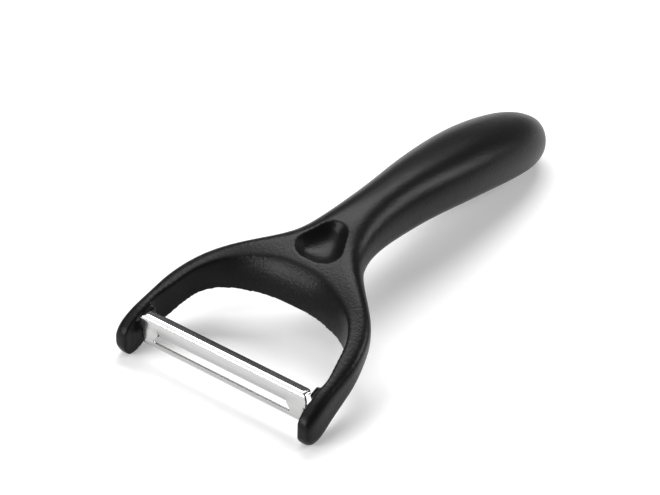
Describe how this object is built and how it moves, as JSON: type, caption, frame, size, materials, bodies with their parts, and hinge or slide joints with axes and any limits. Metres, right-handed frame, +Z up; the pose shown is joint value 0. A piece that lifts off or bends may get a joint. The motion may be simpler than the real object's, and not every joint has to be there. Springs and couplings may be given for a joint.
{
  "type": "vegetable_peeler",
  "caption": "Y-shaped vegetable peeler with a black moulded plastic handle, thumb dimple and a swivelling slotted stainless steel blade held between the fork's arms.",
  "frame": {"origin": "centre of the footprint, on the surface that the peeler lies on", "axes": "+Y along the handle from the blade to the end of the grip, +X along the blade, +Z up"},
  "size_m": [0.0596, 0.1404, 0.0256],
  "materials": {
    "handle_plastic": "fine-grained black moulded plastic",
    "blade_steel": "polished stainless steel strip",
    "pin_steel": "plain turned stainless steel"
  },
  "bodies": {
    "handle_body": {"handle": "handle_plastic"},
    "blade_body": {"blade": "blade_steel", "left_pivot_pin": "pin_steel", "right_pivot_pin": "pin_steel"}
  },
  "joints": [
    {"name": "blade_swivel", "type": "hinge", "parent": "handle_body", "child": "blade_body", "pos_m": [0, -0.06132, 0.00596], "axis": [1, 0, 0], "range_deg": [-8, 36]}
  ]
}
